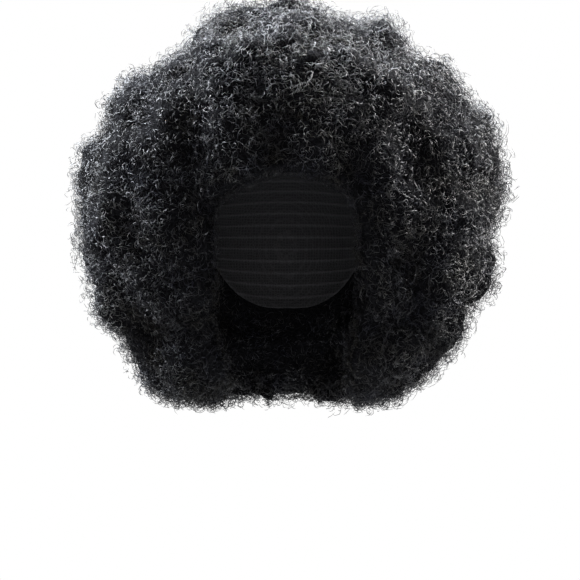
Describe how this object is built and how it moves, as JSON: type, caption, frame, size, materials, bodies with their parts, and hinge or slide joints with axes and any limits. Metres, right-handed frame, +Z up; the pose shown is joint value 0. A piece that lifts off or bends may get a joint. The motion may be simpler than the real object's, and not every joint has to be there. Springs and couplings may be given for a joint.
{
  "type": "afro wig",
  "caption": "Full round afro wig of kinky curls sewn in sections on a close net cap, open at the face and the neck.",
  "frame": {"origin": "inside the cap at its crown, where the wig sits on the head", "axes": "+Z up, the face looks along -Y, and the wearer's left is at +X"},
  "size_m": [0.3947, 0.3404, 0.3761],
  "materials": {
    "net_cloth": "matt black net",
    "kinky_fibre": "black kinky synthetic fibre with a low sheen"
  },
  "bodies": {
    "root": {"cap": "net_cloth", "hair_crown": "kinky_fibre", "hair_front": "kinky_fibre", "hair_left": "kinky_fibre", "hair_right": "kinky_fibre", "hair_back": "kinky_fibre", "hair_nape": "kinky_fibre"}
  },
  "joints": []
}
